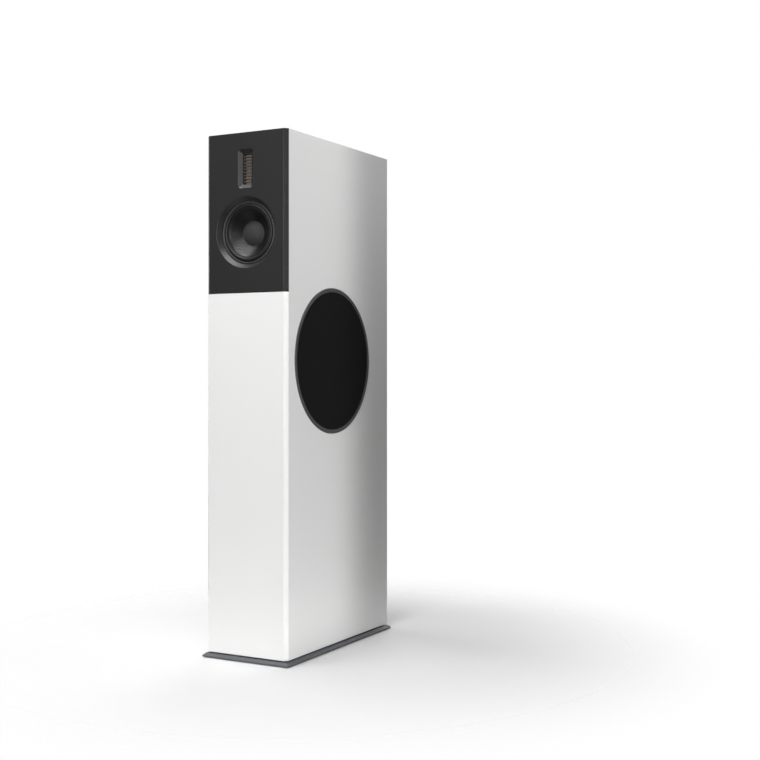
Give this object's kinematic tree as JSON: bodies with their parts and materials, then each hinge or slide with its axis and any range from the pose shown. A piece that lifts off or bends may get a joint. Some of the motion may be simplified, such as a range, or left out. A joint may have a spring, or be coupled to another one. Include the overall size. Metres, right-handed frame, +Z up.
{
  "type": "floorstanding speaker",
  "caption": "Tall slim loudspeaker on a low plinth, with a pleated tweeter and a cone driver in a dark front plate and a woofer behind a round side grille.",
  "frame": {"origin": "point of the floor under the middle of the plinth", "axes": "+Z up, the front faces -Y, and +X is the side with the round grille"},
  "size_m": [0.191, 0.399, 0.983],
  "materials": {
    "white_lacquer": "satin white lacquer over fibreboard",
    "raw_board": "bare fibreboard",
    "grey_plate": "dark anodised, fine matt",
    "plinth_paint": "satin grey paint",
    "pad_rubber": "matt",
    "zinc_steel": "zinc plated",
    "black_screw": "black oxide",
    "cast_frame": "black powder coat",
    "rubber_edge": "satin",
    "cone_gloss": "polished black",
    "cap_matt": "matt",
    "former_foil": "bare foil",
    "copper_wire": "enamelled copper",
    "spider_cloth": "resin-stiffened cotton",
    "plated_steel": "zinc plated",
    "ferrite": "ground ceramic",
    "foam_gasket": "closed-cell foam",
    "tab_brass": "tinned tabs in a laminate block",
    "trim_satin": "satin",
    "grille_paint": "satin dark grey",
    "grille_fabric": "fine black weave",
    "magnet_nickel": "nickel plated",
    "tweeter_black": "matt black",
    "pleated_foil": "thin film with metal tracks",
    "black_plastic": "fine grained",
    "post_metal": "gold plated",
    "knob_red_plastic": "clear red",
    "knob_black_plastic": "black",
    "board_laminate": "green solder mask",
    "capacitor_sleeve": "film sleeve",
    "cable_jacket": "soft jacket",
    "fleece": "loose polyester"
  },
  "bodies": {
    "cabinet": {"baffle_plate": "grey_plate", "bass_basket": "cast_frame", "bass_magnet": "ferrite", "bass_mount_ring": "raw_board", "bass_spider": "spider_cloth", "bass_surround": "rubber_edge", "bass_top_plate": "plated_steel", "bass_yoke": "plated_steel", "bottom_panel": "white_lacquer", "capacitors": "capacitor_sleeve", "catch_magnets": "magnet_nickel", "chamber_walls": "raw_board", "crossover_board": "board_laminate", "damping_fleece": "fleece", "driver_gaskets": "foam_gasket", "driver_terminals": "tab_brass", "foot_pads": "pad_rubber", "front_panel": "white_lacquer", "inductors": "copper_wire", "internal_wiring": "cable_jacket", "m4_screws": "black_screw", "m5_screws": "black_screw", "mid_basket": "cast_frame", "mid_magnet": "ferrite", "mid_spider": "spider_cloth", "mid_surround": "rubber_edge", "mid_top_plate": "plated_steel", "mid_trim_ring": "trim_satin", "mid_yoke": "plated_steel", "plinth_bolts": "zinc_steel", "plinth_plate": "plinth_paint", "port_tube": "black_plastic", "post_studs": "post_metal", "rear_panel": "white_lacquer", "side_panel_left": "white_lacquer", "side_panel_right": "white_lacquer", "sub_baffle": "raw_board", "terminal_cup": "black_plastic", "tinsel_leads": "copper_wire", "top_panel": "white_lacquer", "tweeter_back_plate": "tweeter_black", "tweeter_cup": "black_plastic", "tweeter_face": "tweeter_black", "tweeter_foil": "pleated_foil", "tweeter_magnets": "magnet_nickel", "window_braces": "raw_board"},
    "mid_diaphragm": {"mid_cone": "cone_gloss", "mid_dust_cap": "cap_matt", "mid_coil_former": "former_foil", "mid_voice_coil": "copper_wire"},
    "bass_diaphragm": {"bass_cone": "cone_gloss", "bass_dust_cap": "cap_matt", "bass_coil_former": "former_foil", "bass_voice_coil": "copper_wire"},
    "grille": {"grille_ring": "grille_paint", "grille_cloth": "grille_fabric"},
    "collar_red": {"clamp_collar_red": "post_metal"},
    "knob_red": {"knob_red": "knob_red_plastic"},
    "collar_black": {"clamp_collar_black": "post_metal"},
    "knob_black": {"knob_black": "knob_black_plastic"}
  },
  "joints": [
    {"name": "mid_travel", "type": "slide", "parent": "cabinet", "child": "mid_diaphragm", "axis": [0, -1, 0], "range_m": [-0.004, 0.004], "stiffness_N_per_m": 1500, "deforming": ["mid_surround", "mid_spider", "tinsel_leads"]},
    {"name": "bass_travel", "type": "slide", "parent": "cabinet", "child": "bass_diaphragm", "axis": [1, 0, 0], "range_m": [-0.007, 0.007], "stiffness_N_per_m": 1200, "deforming": ["bass_surround", "bass_spider", "tinsel_leads"]},
    {"name": "grille_pull", "type": "slide", "parent": "cabinet", "child": "grille", "axis": [1, 0, 0], "range_m": [0, 0.04]},
    {"name": "clamp_red", "type": "slide", "parent": "cabinet", "child": "collar_red", "axis": [0, 1, 0], "range_m": [0, 0.006]},
    {"name": "screw_red", "type": "hinge", "parent": "collar_red", "child": "knob_red", "pos_m": [-0.019, 0.175, 0.11], "axis": [0, 1, 0], "range_deg": [0, 1728]},
    {"name": "clamp_black", "type": "slide", "parent": "cabinet", "child": "collar_black", "axis": [0, 1, 0], "range_m": [0, 0.006]},
    {"name": "screw_black", "type": "hinge", "parent": "collar_black", "child": "knob_black", "pos_m": [0.019, 0.175, 0.11], "axis": [0, 1, 0], "range_deg": [0, 1728]}
  ],
  "couplings": [
    {"joint": "screw_red", "follows": "clamp_red", "rad_per_m": 5026.5},
    {"joint": "screw_black", "follows": "clamp_black", "rad_per_m": 5026.5}
  ]
}
